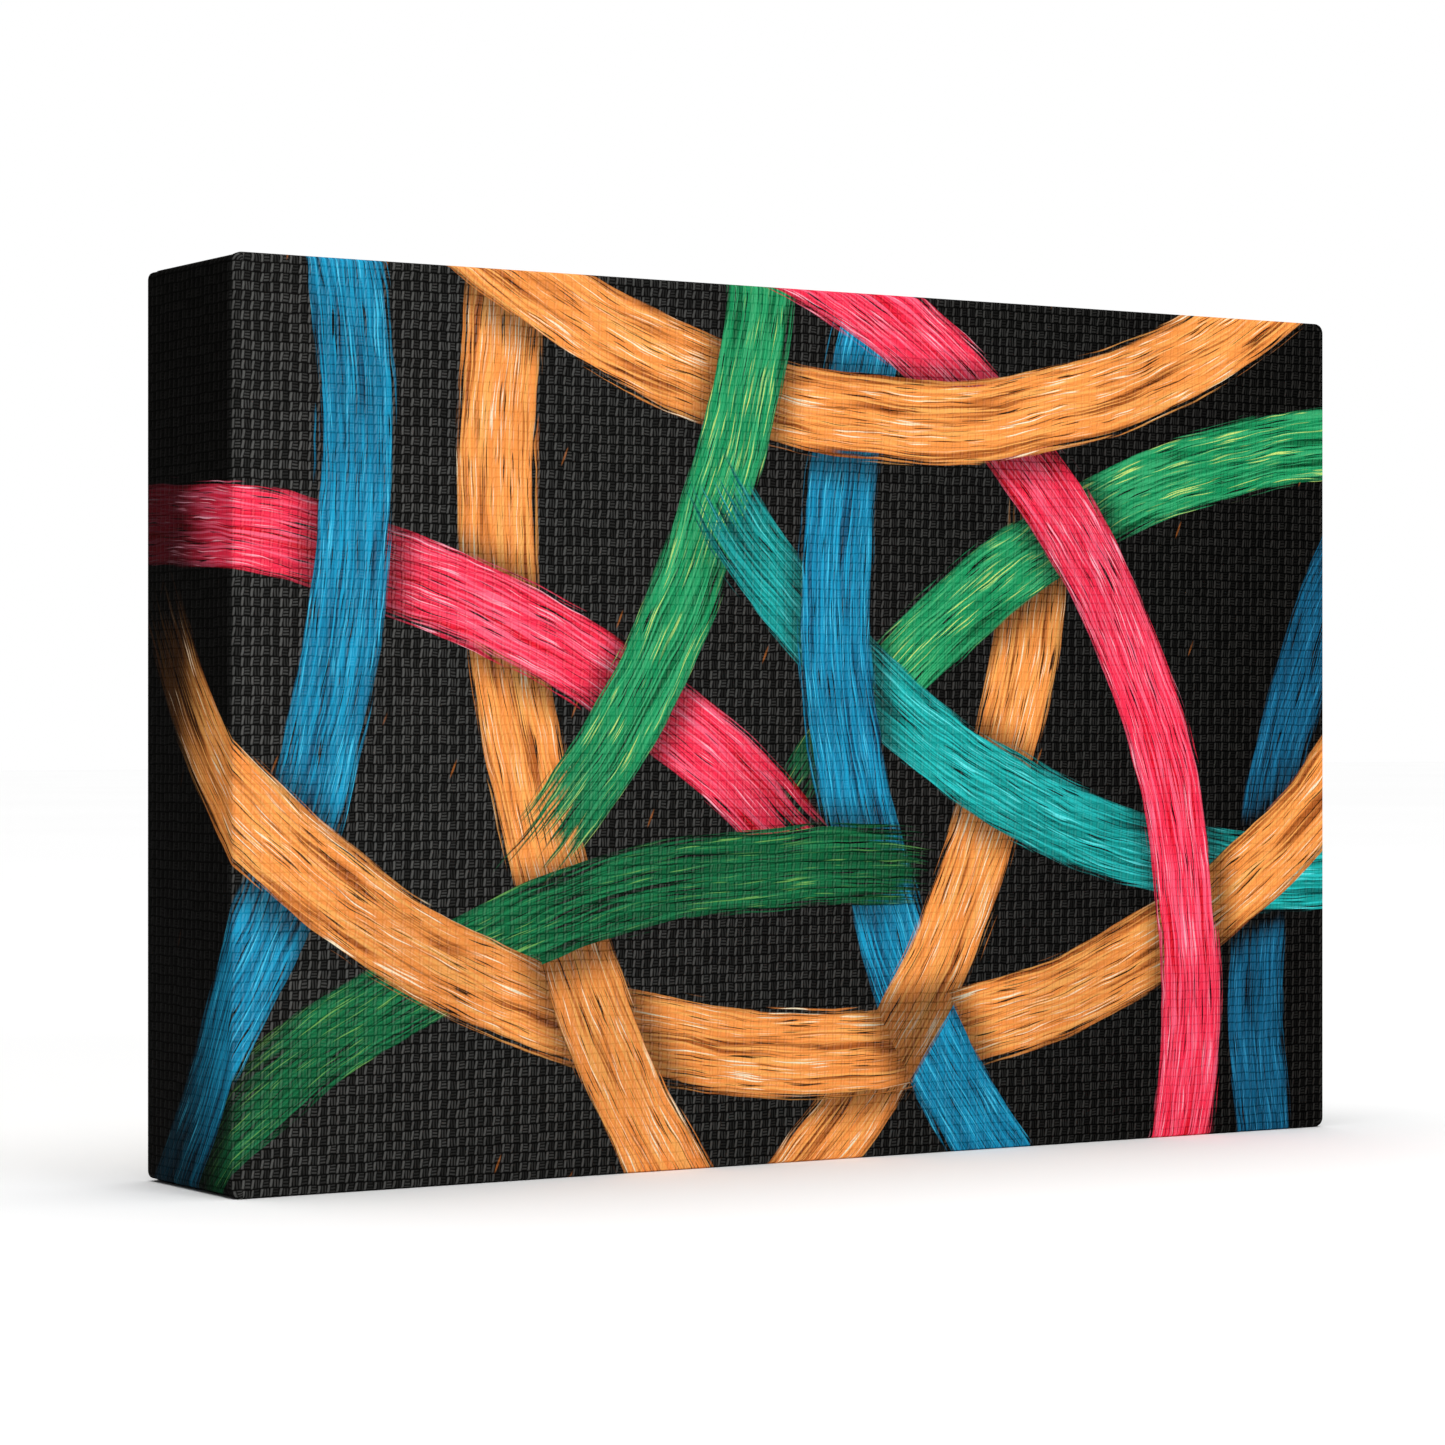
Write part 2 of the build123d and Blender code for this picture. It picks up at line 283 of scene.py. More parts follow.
def stroke_group():
    """One brush stroke along an arc of a circle, in millimetres on the flat cloth."""
    colours = [(name, "Color") for name in ("Dark", "Main", "Light", "Shine")]
    inputs = PLACE_INPUTS + REACH_INPUTS + [("Seed", "Float")] + colours
    outputs = [("Color", "Color"), ("Alpha", "Float")]
    tree, n, start, end = new_group("brush stroke", inputs, outputs)
    off, along = arc_frame(n, start)
    # The bristles wander a little from side to side.
    wander = n.noise(n.join(n.times_plus(along, 0.022, start["Seed"])), 1.0, 1.0)
    off = n.plus(off, n.times_plus(wander, 2.6, -1.3))
    waves_at = n.join(n.times(along, 0.06), n.times_plus(off, 0.22, start["Seed"]))
    hair_off = n.times_plus(n.noise(waves_at, 1.0, 2.0), 1.5, off)
    start_at = n.times(start["Seed"], 7.3)

    def streaks(across_scale, along_scale, detail, shift):
        x = n.times_plus(hair_off, across_scale, n.plus(start_at, shift))
        y = n.times_plus(along, along_scale, shift)
        return n.noise(n.join(x, y), 1.0, detail, 0.55)

    # Coverage: ragged along both edges, and split into hairs where the stroke runs out.
    fray = streaks(1.25, 0.028, 2.0, 41.3)
    inside = n.minus(1.0, n.math("DIVIDE", n.math("ABSOLUTE", off), start["Half width"]))
    ragged = n.times_plus(fray, 0.62, n.minus(inside, 0.31))
    to_end = nearest_end(n, start, along)
    split_ends = n.minus(to_end, n.times_plus(fray, 1.7, -0.5))
    alpha = n.times(n.step(ragged, 0.0, 0.07), n.step(split_ends, 0.0, 0.3))
    n.feed(end["Alpha"], alpha)

    # Colour: broad tones, fine streaks, dark cracks and pale hairs. It is darker towards the ends
    # and where the brush carried less paint.
    broad = streaks(0.36, 0.03, 2.0, 11.7)
    fine = streaks(2.1, 0.045, 2.0, 3.1)
    hair = streaks(3.0, 0.085, 1.0, 27.9)
    colour = n.mix(n.step(broad, 0.3, 0.46), start["Dark"], start["Main"])
    colour = n.mix(n.step(fine, 0.46, 0.66), colour, start["Light"])
    shade = n.step(fine, 0.24, 0.42, 0.55, 1.0)
    cracks = n.step(hair, 0.28, 0.34, 0.1, 1.0)
    rim = n.step(inside, 0.0, 0.22, 0.6, 1.0)
    load = n.noise(n.join(n.times_plus(along, 0.021, start_at)), 1.0, 0.0)
    thinly = n.step(load, 0.28, 0.5, 0.86, 1.0)
    dim = n.times(n.step(to_end, 0.1, 1.6, 0.34, 1.0), thinly)
    dull = n.times(n.times(shade, cracks), n.times(rim, dim))
    colour = n.mix(1.0, colour, n.grey(dull), blend="MULTIPLY")
    lit = n.times(n.step(hair, 0.62, 0.73), n.step(broad, 0.42, 0.56))
    n.feed(end["Color"], n.mix(n.times(lit, dim), colour, start["Shine"]))
    return tree


SHADE = shade_group()
STROKE = stroke_group()

# Paint: its dark, main, light and highlight colours
PAINTS = {
    "orange": (srgb(178, 94, 38), srgb(252, 152, 72), srgb(255, 178, 94), srgb(255, 240, 206)),
    "blue": (srgb(18, 84, 118), srgb(20, 124, 164), srgb(28, 158, 202), srgb(70, 198, 236)),
    "dim blue": (srgb(10, 52, 76), srgb(16, 84, 118), srgb(24, 108, 148), srgb(44, 138, 180)),
    "pink": (srgb(228, 12, 40), srgb(255, 46, 80), srgb(255, 102, 132), srgb(255, 176, 194)),
    "green": (srgb(8, 96, 54), srgb(24, 146, 90), srgb(56, 172, 112), srgb(200, 228, 122)),
    "dim green": (srgb(4, 58, 32), srgb(12, 96, 56), srgb(26, 122, 74), srgb(110, 168, 84)),
    "teal": (srgb(14, 108, 104), srgb(20, 152, 146), srgb(42, 198, 196), srgb(96, 232, 234)),
}

# Each stroke: paint, a point on it and the heading there, its radius (positive bends left),
# how far it runs behind and ahead of the point, and its half width. Millimetres and degrees,
# from the middle of the printed face.
FAR = 200
STEEP = [
    ("blue", (-98, 0), 76, 190, FAR, FAR, 7.2),
    ("orange", (-62, 0), 101, -230, FAR, FAR, 7.6),
    ("green", (-30, 20), 64, 170, 58, FAR, 7.0),
    ("blue", (4, 0), 98, -160, FAR, FAR, 7.6),
    ("orange", (36, -16), 70, 180, FAR, 64, 7.4),
    ("pink", (74, 0), 110, 140, FAR, FAR, 7.2),
    ("dim blue", (106, 0), 72, -170, FAR, FAR, 6.8),
]
SHALLOW = [
    ("orange", (-24, 60), -16, 150, FAR, FAR, 7.6),
    ("green", (62, 40), 24, -170, 96, FAR, 7.0),
    ("pink", (-74, 22), -20, -200, FAR, 92, 7.2),
    ("teal", (44, -14), -24, 160, 96, FAR, 7.2),
    ("dim green", (-70, -38), 22, -190, FAR, 104, 7.2),
    ("orange", (24, -56), 8, 170, FAR, FAR, 7.6),
]
END_FADE = 24.0  # how far a stroke takes to run out
SHADE_FALLS = (-0.4, 0.6, 0.0)  # from a place in the shade to what casts it
BLACK = srgb(16, 14, 12)


def reach(spec):
    """The group inputs that place one stroke and say how far it runs."""
    _, point, heading, radius, behind, ahead, half_width = spec
    turn = math.radians(heading)
    along = Vector((math.cos(turn), math.sin(turn), 0))
    left = Vector((-along.y, along.x, 0))
    return {
        "Centre": Vector((*point, 0)) + left * radius,
        "Out": -left * math.copysign(1, radius),
        "Ahead": along,
        "Radius": abs(radius),
        "Half_width": half_width,
        "Back_end": behind,
        "Front_end": ahead,
        "Fade": END_FADE,
    }


def stroke_shade(n, place, spec):
    return use_group(n, SHADE, Place=place, **reach(spec))["Shade"]


def draw_stroke(n, place, seed, spec, after):
    """One stroke's colour and coverage, worked out once the number given as after is known.

    A shader has little memory for numbers that wait. Scaling the place by a factor so near to 1
    moves nothing that shows, but it keeps the strokes from being worked out side by side.
    """
    place = n.scaled(place, n.times_plus(after, 1e-7, 1.0))
    dark, main, light, shine = PAINTS[spec[0]]
    paint = {"Seed": seed, "Dark": dark, "Main": main, "Light": light, "Shine": shine}
    outputs = use_group(n, STROKE, Place=place, **reach(spec), **paint)
    return outputs["Color"], outputs["Alpha"]


def flecks(n, place):
    """Thin orange dashes, scattered far apart."""
    turned = n.add("VectorRotate", place, rotation_type="Z_AXIS", named={"Angle": 0.4})
    long_way = n.vector("MULTIPLY", turned, (1.0, 0.12, 1.0))
    named = {"Vector": long_way, "Scale": 0.1, "Randomness": 1.0}
    near = n.add("TexVoronoi", named=named, voronoi_dimensions="2D")
    here = n.step(n.noise(place, 0.03, 0.0), 0.46, 0.56)
    return n.times(n.step(near, 0.026, 0.01), here)


def printed_colour(n, place):
    """The whole print: the steep strokes, then the shallow ones, each over every other steep one.

    A shallow stroke lies over a steep one where their two numbers, i and j, add up to an odd one.
    The shades fall a little below and beside their strokes.
    """
    beside = n.vector("ADD", place, SHADE_FALLS)
    colour = n.mix(flecks(n, place), srgb(22, 22, 21), srgb(138, 78, 32))
    shallow_shades = [stroke_shade(n, beside, spec) for spec in SHALLOW]
    steep = []
    alpha = 0.0
    for i, spec in enumerate(STEEP):
        paint, alpha = draw_stroke(n, place, 1.0 + i, spec, alpha)
        for j, shade in enumerate(shallow_shades):
            if (i + j) % 2:
                paint = n.mix(shade, paint, BLACK)
        colour = n.mix(alpha, colour, paint)
        steep.append((n.minus(1.0, alpha), stroke_shade(n, beside, spec)))
    for j, spec in enumerate(SHALLOW):
        paint, alpha = draw_stroke(n, place, 21.0 + j, spec, alpha)
        for i, (bare, shade) in enumerate(steep):
            if (i + j) % 2 == 0:
                paint = n.mix(shade, paint, BLACK)
                alpha = n.times(alpha, bare)
        colour = n.mix(alpha, colour, paint)
    return colour


# ---- cloth materials ----
def cloth_place(n):
    """The flat cloth's coordinates in millimetres, kept at each mesh corner."""
    node = n.tree.nodes.new("ShaderNodeAttribute")
    node.attribute_name = "cloth_mm"
    return node.outputs["Vector"]


def past_face(n, place):
    """How far a place on the flat cloth lies outside the printed face, in millimetres.

    It is negative on the face.
    """
    x, y, _ = n.split(n.vector("ABSOLUTE", place))
    over_x = n.minus(x, HALF_W / MM)
    over_y = n.minus(y, HALF_H / MM)
    return n.math("MAXIMUM", over_x, over_y)


def add_bump(n, height, inputs, depth_mm=0.13, strength=0.8):
    """Bump from a height of 0 to 1. The usual depth is the weave's."""
    named = {"Strength": strength, "Distance": depth_mm * MM, "Height": height}
    n.feed(inputs["Normal"], n.add("Bump", named=named))


def primed_colour(n, place, weave):
    """White primer, with painted shade in the weave's gaps."""
    colour = n.mix(n.noise(place, 0.06, 3.0), srgb(228, 224, 213), srgb(241, 239, 231))
    return n.mix(n.step(weave["Height"], 0.0, 0.6), srgb(196, 190, 175), colour)


def print_material():
    """The printed outside of the cloth: strokes on black, and white primer past the print's edge."""
    material, n, inputs = new_material("printed_canvas")
    place = cloth_place(n)
    weave = use_group(n, WEAVE, Place=place)
    top = weave["Top"]
    colour = printed_colour(n, place)
    # The weave shows most where the print is black. Painted shade in the weave's gaps darkens the
    # paint, most where the paint is dark.
    brightness = n.add("RGBToBW", colour)
    gaps = n.step(brightness, 0.02, 0.3, 0.4, 0.88)
    gap_shade = n.step(weave["Height"], 0.0, 0.5, gaps, 1.0)
    # Painted shade round the sides: the paint is darker there, and further back the strokes sink into
    # the black, their pale hairs last.
    past = past_face(n, place)
    thin = n.step(past, -0.6, 2.0, 1.0, 0.78)
    sunk = n.step(n.times_plus(brightness, -24.0, past), -6.0, 15.0, 0.0, 0.93)
    paint = n.mix(1.0, colour, n.grey(n.times(gap_shade, thin)), blend="MULTIPLY")
    # Painted sheen makes the black greyer towards the left of the face, and painted shade makes it
    # deepest round the sides. The crowns' grey is painted sheen on the thread tops.
    sheen_falloff = n.times_plus(n.split(place)[0], MM / (2 * HALF_W), 0.57)
    side_shade_share = n.step(past, -0.6, 2.0)
    crown = n.mix(sheen_falloff, srgb(89, 89, 87), srgb(41, 40, 38))
    crown = n.mix(side_shade_share, crown, srgb(23, 22, 21))
    gap = n.mix(sheen_falloff, srgb(12, 12, 11), srgb(1, 1, 1))
    gap = n.mix(side_shade_share, gap, srgb(2, 2, 1))
    black_print_sheen_and_shade = n.mix(top, gap, crown)
    # A little of the crowns' painted grey sheen lies over the paint too, and shows where that is dim.
    paint = n.mix(0.45, paint, black_print_sheen_and_shade, blend="ADD")
    # Dark print takes the black ground, and so does paint sunk in the painted shade round the sides.
    black = n.math("MAXIMUM", n.step(brightness, 0.05, 0.015), sunk)
    colour = n.mix(black, paint, black_print_sheen_and_shade)
    # The print stops part of the way across the flaps, at an edge that wanders slightly.
    edge_noise = n.times_plus(n.noise(place, 0.3, 2.0), 0.6, -0.3)
    bleed = (BACK_Y - FRONT_Y + PRINT_BLEED) / MM
    primed = n.step(n.minus(n.plus(past, edge_noise), bleed), -0.1, 0.1)
    colour = n.mix(primed, colour, primed_colour(n, place, weave))
    n.feed(inputs["Base Color"], colour)
    rough = n.times_plus(n.noise(place, 0.8, 2.0), 0.16, 0.56)
    n.feed(inputs["Roughness"], n.times_plus(top, -0.1, rough))
    inputs["Specular IOR Level"].default_value = 0.008
    add_bump(n, weave["Height"], inputs)
    return material


def cotton_material():
    """The unprimed back of the cloth, seen through the frame's opening."""
    material, n, inputs = new_material("raw_cotton")
    place = cloth_place(n)
    weave = use_group(n, WEAVE, Place=place)
    tone = n.noise(place, 0.03, 3.0)
    slubs = n.noise(n.vector("MULTIPLY", place, (0.04, 1.1, 1.0)), 1.0, 1.0)
    thread = n.mix(tone, srgb(214, 200, 170), srgb(229, 217, 192))
    thread = n.mix(n.step(slubs, 0.62, 0.75, 0.0, 0.5), thread, srgb(238, 228, 206))
    seeds = n.step(n.noise(place, 0.9, 1.0), 0.77, 0.82, 0.0, 0.8)
    thread = n.mix(seeds, thread, srgb(122, 92, 52))
    # Painted highlight on the weave's crowns, and painted shade in its gaps.
    thread = n.mix(n.times(weave["Top"], 0.5), thread, srgb(240, 231, 212))
    colour = n.mix(n.step(weave["Height"], 0.0, 0.6), srgb(150, 132, 102), thread)
    n.feed(inputs["Base Color"], colour)
    n.feed(inputs["Roughness"], n.times_plus(weave["Top"], -0.08, 0.92))
    inputs["Specular IOR Level"].default_value = 0.2
    inputs["Sheen Weight"].default_value = 0.25
    add_bump(n, weave["Height"], inputs, 0.16, 0.9)
    return material


def thread_material():
    """Loose cotton yarn and the cut edge of the cloth."""
    material, n, inputs = new_material("cotton_yarn")
    place = object_place(n)
    colour = n.mix(n.noise(place, 0.8, 3.0, flat=False), srgb(212, 202, 180), srgb(240, 234, 220))
    n.feed(inputs["Base Color"], colour)
    fibres = n.noise(place, 9.0, 2.0, flat=False)
    n.feed(inputs["Roughness"], n.times_plus(fibres, 0.2, 0.75))
    inputs["Specular IOR Level"].default_value = 0.2
    inputs["Sheen Weight"].default_value = 0.3
    add_bump(n, fibres, inputs, 0.05, 0.5)
    return material


# ---- wood, metal and rubber ----
PINE_RING_MM = 2.1  # from one growth ring to the next
PLANER_MARK_MM = 1.4  # from one planer mark to the next
RUBBER_RING_MM = 0.9  # from one moulding ring to the next


def object_place(n):
    """Object coordinates in millimetres: the frame's own at rest, and they move with the body."""
    return n.scaled(n.tree.nodes.new("ShaderNodeTexCoord").outputs["Object"], 1 / MM)


def along_grain(n, place, upright):
    """Reorders coordinates to: along the grain, from front to back, and across."""
    x, y, z = n.split(place)
    return (z, y, x) if upright else (x, y, z)


def pine_material(name, upright, pith, knots, seed):
    """Slow-grown pine. pith is where the rings' middle lies, across the bar. Millimetres."""
    material, n, inputs = new_material(name)
    along, deep, across = along_grain(n, object_place(n), upright)
    # Growth rings round a pith that wanders along the bar, pushed aside by knots.
    drift_1 = n.noise(n.join(n.times(along, 0.009), seed), 1.0, 1.0)
    drift_2 = n.noise(n.join(n.times(along, 0.012), seed + 5), 1.0, 1.0)
    a = n.plus(n.minus(deep, pith[0]), n.times(drift_1, 7.0))
    b = n.plus(n.minus(across, pith[1]), n.times(drift_2, 9.0))
    radius = n.vector("LENGTH", n.join(a, b))
    knot_depth = None
    for knot_along, knot_deep, size in knots:
        offset = n.join(n.times(n.minus(along, knot_along), 0.75), n.minus(deep, knot_deep))
        near = n.math("DIVIDE", n.vector("LENGTH", offset), size)
        push = n.math("EXPONENT", n.times(n.math("POWER", near, 2.0), -0.16))
        radius = n.times_plus(push, 1.7 * size, radius)
        knot_depth = near if knot_depth is None else n.math("MINIMUM", knot_depth, near)
    grain = n.join(n.times(along, 0.045), deep, across)
    fuzz = n.noise(grain, 1.0, 2.0, flat=False)
    phase = n.math("FRACT", n.times_plus(radius, 1 / PINE_RING_MM, n.times(fuzz, 0.5)))
    late = n.times(n.step(phase, 0.35, 0.93), n.step(phase, 1.0, 0.95))
    stretched = n.vector("MULTIPLY", n.join(along, deep, across), (0.06, 5.5, 5.5))
    fibres = n.noise(stretched, 1.0, 3.0, 0.6, flat=False)
    colour = n.mix(fuzz, srgb(226, 197, 148), srgb(240, 216, 172))
    colour = n.mix(n.times(late, 0.72), colour, srgb(205, 150, 88))
    colour = n.mix(n.step(fibres, 0.3, 0.62, 0.3, 0.0), colour, srgb(176, 130, 82))
    ducts = n.step(fibres, 0.72, 0.8, 0.0, 0.5)
    colour = n.mix(ducts, colour, srgb(150, 98, 52))
    if knot_depth is not None:
        rings = n.times_plus(n.math("COSINE", n.times(knot_depth, 15.0)), 0.5, 0.5)
        heart = n.mix(rings, srgb(122, 70, 34), srgb(164, 104, 56))
        colour = n.mix(n.step(knot_depth, 1.12, 0.95), colour, srgb(104, 58, 28))
        colour = n.mix(n.step(knot_depth, 1.0, 0.86), colour, heart)
    n.feed(inputs["Base Color"], colour)
    n.feed(inputs["Roughness"], n.times_plus(fibres, 0.22, n.times_plus(late, -0.1, 0.52)))
    inputs["Specular IOR Level"].default_value = 0.32
    ripple = n.math("COSINE", n.times(along, 2 * math.pi / PLANER_MARK_MM))
    height = n.times_plus(fibres, 0.8, n.times(ripple, 0.05))
    add_bump(n, n.times_plus(late, 0.25, height), inputs, 0.12, 0.6)
    return material


def beech_material(name, upright, seed):
    """Pinkish beech with short dark flecks along the grain."""
    material, n, inputs = new_material(name)
    along, deep, across = along_grain(n, object_place(n), upright)
    # Each key is cut from another place in the wood.
    shifted = n.plus(along, 37.0 * seed)

    def lines(along_scale, across_scale, detail):
        scales = (along_scale, across_scale, across_scale)
        stretched = n.vector("MULTIPLY", n.join(shifted, deep, across), scales)
        return n.noise(stretched, 1.0, detail, 0.55, flat=False)

    tone = lines(0.03, 0.35, 2.0)
    fibres = lines(0.12, 5.0, 3.0)
    flecks_here = n.step(lines(0.7, 4.6, 1.0), 0.63, 0.7, 0.0, 0.8)
    colour = n.mix(tone, srgb(206, 162, 118), srgb(226, 188, 146))
    colour = n.mix(n.step(fibres, 0.35, 0.6, 0.35, 0.0), colour, srgb(178, 128, 86))
    colour = n.mix(flecks_here, colour, srgb(150, 98, 62))
    n.feed(inputs["Base Color"], colour)
    n.feed(inputs["Roughness"], n.times_plus(fibres, 0.25, 0.42))
    inputs["Specular IOR Level"].default_value = 0.36
    height = n.minus(fibres, n.times(flecks_here, 0.4))
    add_bump(n, height, inputs, 0.08, 0.6)
    return material


def steel_material():
    """Galvanised staple wire: dull spangle and fine draw lines."""
    material, n, inputs = new_material("galvanised_wire")
    place = object_place(n)
    spangle = n.noise(place, 1.6, 2.0, flat=False)
    lines = n.noise(n.vector("MULTIPLY", place, (1.0, 14.0, 1.0)), 1.0, 2.0, flat=False)
    n.feed(inputs["Base Color"], n.mix(spangle, srgb(168, 172, 176), srgb(214, 216, 218)))
    n.feed(inputs["Roughness"], n.times_plus(spangle, 0.25, n.times_plus(lines, 0.12, 0.2)))
    inputs["Metallic"].default_value = 1.0
    add_bump(n, lines, inputs, 0.02, 0.5)
    return material


def brass_material(name, light, dark, fineness):
    """Brass with small stains and scuffs. fineness is how close its marks lie along X, Y and Z."""
    material, n, inputs = new_material(name)
    place = object_place(n)
    brushed = n.noise(n.vector("MULTIPLY", place, fineness), 1.0, 3.0, 0.6, flat=False)
    stain = n.noise(place, 0.28, 3.0, flat=False)
    colour = n.mix(n.step(stain, 0.4, 0.8, 0.0, 0.6), light, dark)
    colour = n.mix(n.step(brushed, 0.62, 0.78, 0.0, 0.5), colour, srgb(246, 222, 164))
    n.feed(inputs["Base Color"], colour)
    n.feed(inputs["Roughness"], n.times_plus(brushed, 0.22, n.times_plus(stain, 0.16, 0.14)))
    inputs["Metallic"].default_value = 1.0
    add_bump(n, brushed, inputs, 0.025, 0.5)
    return material


def rubber_material(name, node):
    """Dark rubber with fine moulding rings, round the middle of one bumper, and some dust."""
    low, high = [Vector(corner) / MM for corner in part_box(node)]
    material, n, inputs = new_material(name)
    place = object_place(n)
    middle = ((low.x + high.x) / 2, 0, (low.z + high.z) / 2)
    flat = n.vector("MULTIPLY", n.vector("SUBTRACT", place, middle), (1.0, 0.0, 1.0))
    from_middle = n.vector("LENGTH", flat)
    waves = n.math("COSINE", n.times(from_middle, 2 * math.pi / RUBBER_RING_MM))
    rings = n.times_plus(waves, 0.5, 0.5)
    grit = n.noise(place, 3.2, 3.0, flat=False)
    dust = n.step(n.noise(place, 1.1, 2.0, flat=False), 0.52, 0.75, 0.0, 0.5)
    colour = n.mix(grit, srgb(40, 41, 43), srgb(62, 63, 66))
    n.feed(inputs["Base Color"], n.mix(dust, colour, srgb(112, 110, 104)))
    n.feed(inputs["Roughness"], n.times_plus(grit, 0.2, 0.58))
    inputs["Specular IOR Level"].default_value = 0.35
    add_bump(n, n.times_plus(rings, 0.5, grit), inputs, 0.06, 0.6)
    return material


# Each bar: rings' middle (depth, across) and its knots (along, depth, radius), in millimetres
PINE = {
    "stretcher_bar_top": ((38.0, 178.0), ((44.0, 4.0, 2.6),)),
    "stretcher_bar_bottom": ((-40.0, -18.0), ((-58.0, -6.0, 3.1), (71.0, 9.0, 1.7))),
    "stretcher_bar_left": ((34.0, -136.0), ()),
    "stretcher_bar_right": ((-30.0, 141.0), ((96.0, 1.0, 2.2),)),
}


def paint_cad_nodes():
    """Gives every CAD node that still shows its finished material."""
    materials = {}
    for seed, (name, (pith, knots)) in enumerate(PINE.items()):
        upright = name.endswith(("left", "right"))
        pine_name = "pine_" + name.split("_")[-1]
        materials[name] = pine_material(pine_name, upright, pith, knots, 3.0 + seed)
    keys = sorted(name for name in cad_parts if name.startswith("key_"))
    for seed, name in enumerate(keys):
        upright = name.startswith(("key_top", "key_bottom"))
        materials[name] = beech_material("beech_" + name, upright, seed)
    wire = steel_material()
    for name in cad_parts:
        if name.startswith("staples"):
            materials[name] = wire
    plate = brass_material("brushed_brass", srgb(228, 194, 122), srgb(204, 164, 96), (0.3, 5.0, 6.0))
    nail = brass_material("nail_brass", srgb(222, 204, 160), srgb(186, 160, 108), (2.0, 2.0, 2.0))
    materials["sawtooth_hanger"] = plate
    for side in ("left", "right"):
        materials["hanger_nail_" + side] = nail
        bumper = "wall_bumper_" + side
        materials[bumper] = rubber_material("rubber_" + side, bumper)
    for name, material in materials.items():
        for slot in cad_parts[name].material_slots:
            slot.material = material


# ---- canvas sheet ----
SIDES = ("left", "top", "right", "bottom")
FOLD_DEEPENS = 4 * MM  # how far back from the front edge a corner fold reaches its full step
LAP_FADE = (2 * MM, 17 * MM)  # from a corner, where a flap comes down off the layer below it
LAP_WIDTH = 0.45 * MM  # how soon a flap climbs on to that layer
CREASE_DIP = 0.12 * MM  # how far the cloth dips beside a corner's crease
CREASE_WIDTH = 0.4 * MM
DIAGONAL = 6 * MM  # how far from a corner's diagonal the flaps still lie flatter
LIFT_REACH = 8 * MM  # this far from a staple, the flap is nearly two thirds of the way up
BELLY = 0.16 * MM  # how far the middle of a flap lifts between staples
CURL = 0.75 * MM  # how far its cut edge lifts there
STRAIGHT_ENDS = 3 * MM  # how far from its ends the cut edge starts to wander in full
WAVES = 5  # sine waves that each cut edge wanders by


def spaced(half, dense):
    """Even steps from -half to half, with extra ones, given as distances from each end."""
    inner = half - dense[-1]
    count = 2 * max(round(inner / GRID), 1)
    middle = [inner * (2 * i / count - 1) for i in range(1, count)]
    ends = [half - d for d in dense]
    return [-x for x in ends] + middle + ends[::-1]


def held_lift(position, held):
    """0 where the flap is held down, rising to 1 well away from every staple."""
    nearest = min(abs(abs(position) - x) for x in held)
    return 1 - math.exp(-((nearest / LIFT_REACH) ** 2))


class Loop:
    """One ring of the sheet, which lies inset in from the sides, at the depth y.

    past is its distance along the cloth from the face's nominal edge, negative on the face.
    """

    def __init__(self, inset, y, past, fold=0.0, lap=0.0, flap=0.0):
        self.inset, self.y, self.past = inset, y, past
        self.fold = fold  # how far the layer under a corner fold is pressed in
        self.lap = lap  # how far the upper and lower flaps lie above the side flaps
        self.flap = flap  # how far across the flap, from 0 to 1
        self.points, self.index = [], []  # its points, as ring gives them, and their vertices


def sheet_loops():
    """The rings from just inside the face's edge, over the sides, to the flap's cut edge."""
    loops = []
    arc = math.pi / 2
    for i in range(1, ARC_STEPS + 1):
        turn = arc * i / ARC_STEPS
        inset = FRONT_RADIUS * (1 - math.sin(turn))
        y = FRONT_Y + FRONT_RADIUS * (1 - math.cos(turn))
        loops.append(Loop(inset, y, FRONT_RADIUS * (turn - 1)))
    side_from, side_to = FRONT_Y + FRONT_RADIUS, BACK_Y - BACK_RADIUS
    past = loops[-1].past
    depths = [0.4 * MM, 1.0 * MM, 2.0 * MM, 3.4 * MM]
    dense_to = depths[-1]
    rest = side_to - side_from - dense_to
    rows = round(rest / GRID)
    depths += [dense_to + rest * (i + 1) / rows for i in range(rows)]
    for depth in depths:
        fold = STEP * smooth(depth, 0.0, FOLD_DEEPENS)
        loops.append(Loop(0.0, side_from + depth, past + depth, fold=fold))
    past += depths[-1]
    for i in range(1, ARC_STEPS + 1):
        turn = arc * i / ARC_STEPS
        inset = BACK_RADIUS * (1 - math.cos(turn))
        y = side_to + BACK_RADIUS * math.sin(turn)
        step = STEP * (i / ARC_STEPS)
        loops.append(Loop(inset, y, past + BACK_RADIUS * turn, fold=STEP - step, lap=step))
    past = loops[-1].past
    width = FLAP - BACK_RADIUS
    rows = round(width / (0.9 * GRID))
    for i in range(1, rows + 1):
        across = i / rows
        inset = BACK_RADIUS + width * across
        loops.append(Loop(inset, BACK_Y, past + width * across, lap=STEP, flap=across))
    return loops


